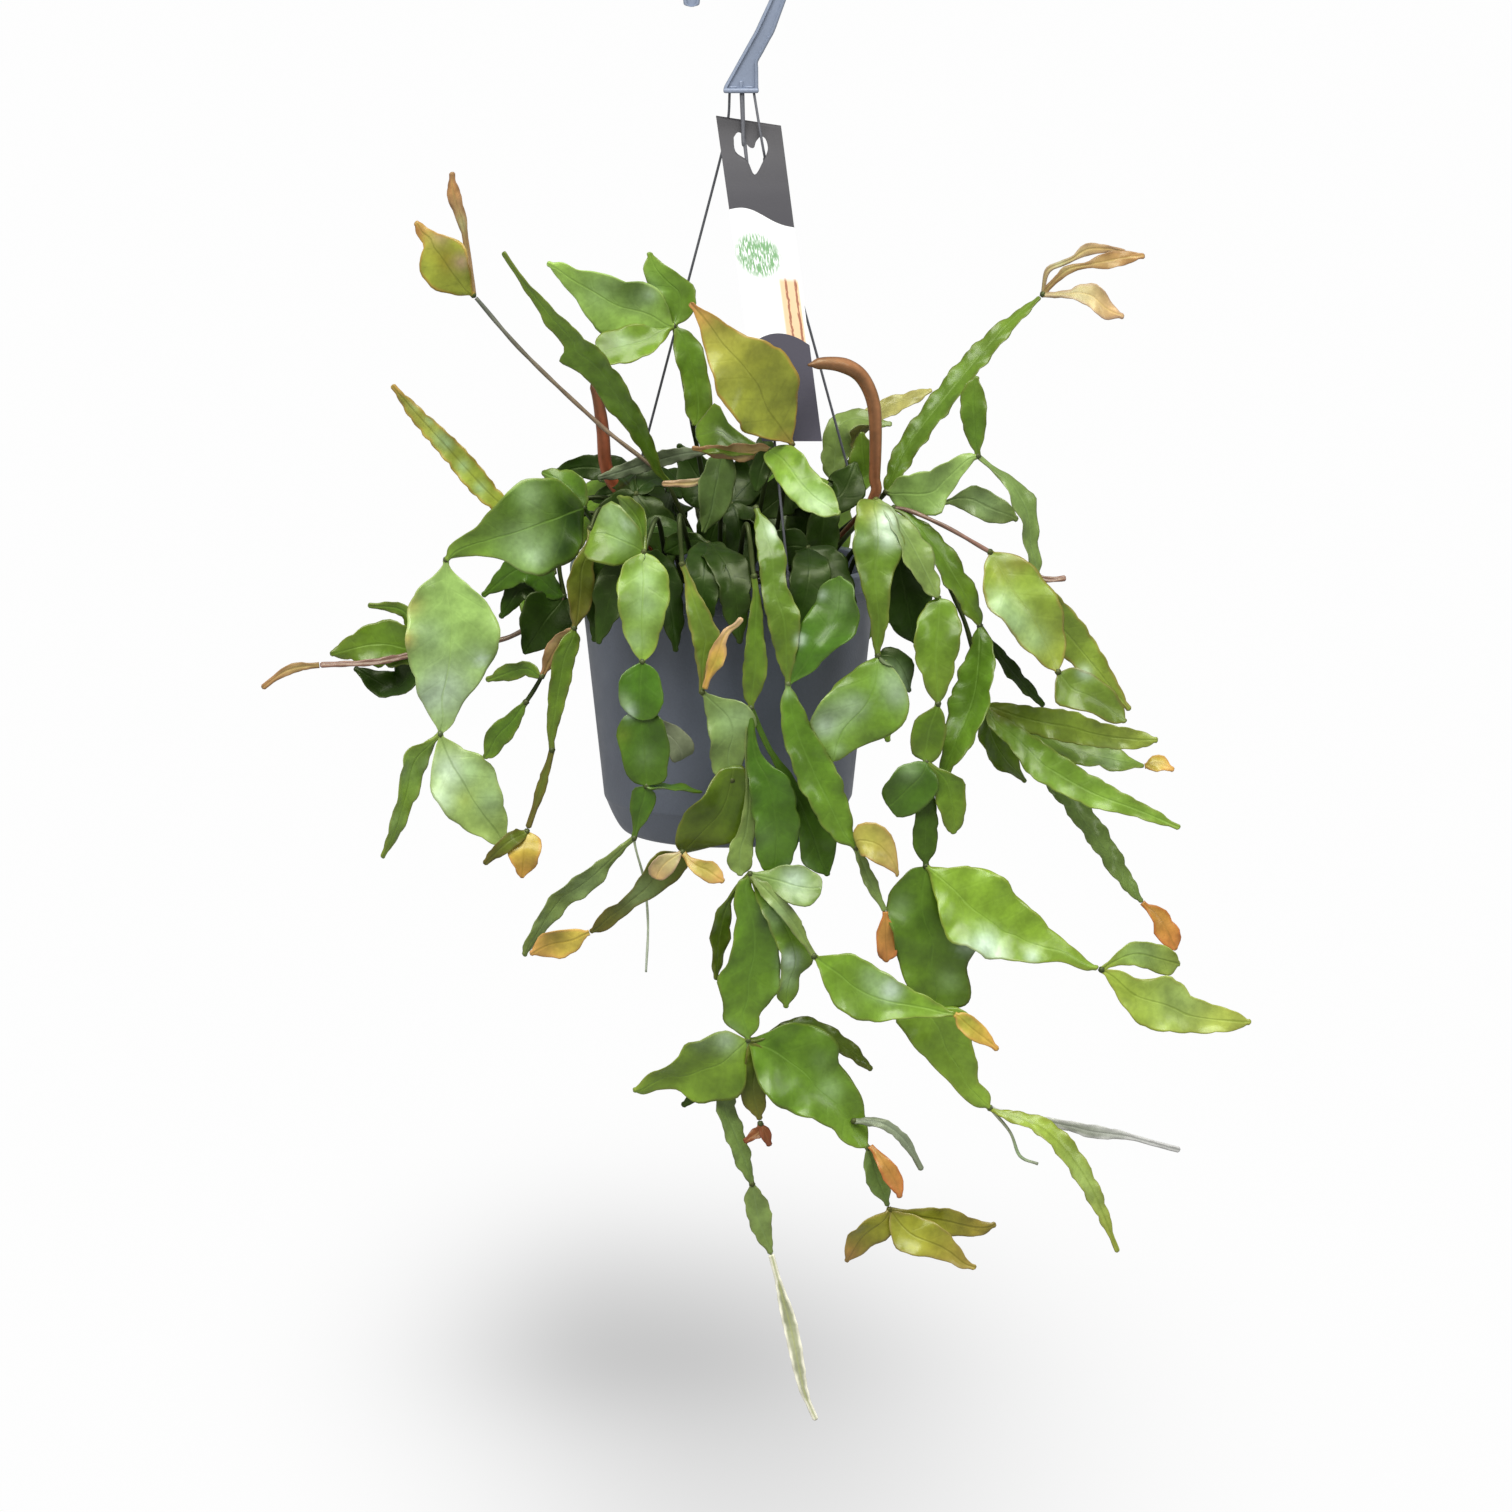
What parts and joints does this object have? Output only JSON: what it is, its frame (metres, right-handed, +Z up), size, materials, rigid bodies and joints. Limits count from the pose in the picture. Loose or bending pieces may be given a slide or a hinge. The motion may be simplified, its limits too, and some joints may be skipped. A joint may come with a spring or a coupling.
{
  "type": "potted rhipsalis",
  "caption": "Trailing jungle cactus with flat scalloped stem segments in a round plastic pot that hangs by strands from a hook, with a long blank label.",
  "frame": {"origin": "the point under the hook's crown that bears on the rail", "axes": "+Z up along the hanging plant, -Y towards the viewer's side where the longest stems trail, +X to the viewer's right"},
  "size_m": [0.4881, 0.2424, 0.7216],
  "materials": {
    "leaf_green": "glossy leathery green plant tissue",
    "deep_green": "glossy deep green plant tissue",
    "sage_green": "softly glossy grey-green plant tissue",
    "lime": "glossy yellow-green young plant tissue",
    "amber": "glossy orange-tan young plant tissue",
    "rust": "rust-brown young plant tissue",
    "pale": "pale green young plant tissue",
    "copper_shoot": "satin copper-brown rolled shoot",
    "soil": "dark crumbly potting mix",
    "pot": "satin slate-blue moulded plastic",
    "hook": "satin slate moulded plastic",
    "strand": "thin dark grey plastic strand",
    "label": "printed card with a satin coat"
  },
  "bodies": {
    "root": {"pot": "pot", "soil": "soil", "hook": "hook", "strand_left": "strand", "strand_right": "strand", "strand_front": "strand", "hanging_label": "label", "copper_shoot_right": "copper_shoot", "copper_shoot_left": "copper_shoot", "stem_reach_left": "leaf_green", "stem_fan_top": "leaf_green", "stem_front_upright": "leaf_green", "stem_front_long": "leaf_green", "stem_front_right": "leaf_green", "stem_right_upper": "leaf_green", "stem_right_front": "leaf_green", "stem_front_chain": "leaf_green", "stem_front_left": "leaf_green", "stem_left_drop": "leaf_green", "stem_left_arch": "leaf_green", "stem_back_right": "leaf_green", "stem_back_1": "leaf_green", "stem_back_2": "leaf_green", "stem_back_3": "leaf_green", "stem_back_4": "leaf_green", "stem_back_5": "leaf_green", "stem_left_low": "deep_green", "stem_inner_left": "deep_green", "stem_inner_middle": "deep_green", "stem_inner_right": "deep_green", "stem_rim_left": "deep_green", "stem_rim_middle": "deep_green", "stem_rim_right": "deep_green", "stem_centre": "sage_green", "stem_front_mid": "sage_green", "stem_right_lime": "lime", "stem_left_yellow": "lime", "young_reach_left": "lime", "young_leaf_upright": "lime", "young_right_pair": "lime", "young_low_trio": "lime", "young_left_pair": "lime", "young_right_trio": "amber", "young_amber_side": "amber", "young_amber_low": "amber", "young_ochre_tip": "amber", "young_orange_right": "amber", "young_orange_low": "amber", "young_chain_tip": "amber", "young_olive_node": "amber", "young_curl": "amber", "young_bottom_left": "amber", "young_brown_tip": "rust", "young_twig_left": "rust", "young_pale_tail": "pale"}
  },
  "joints": []
}
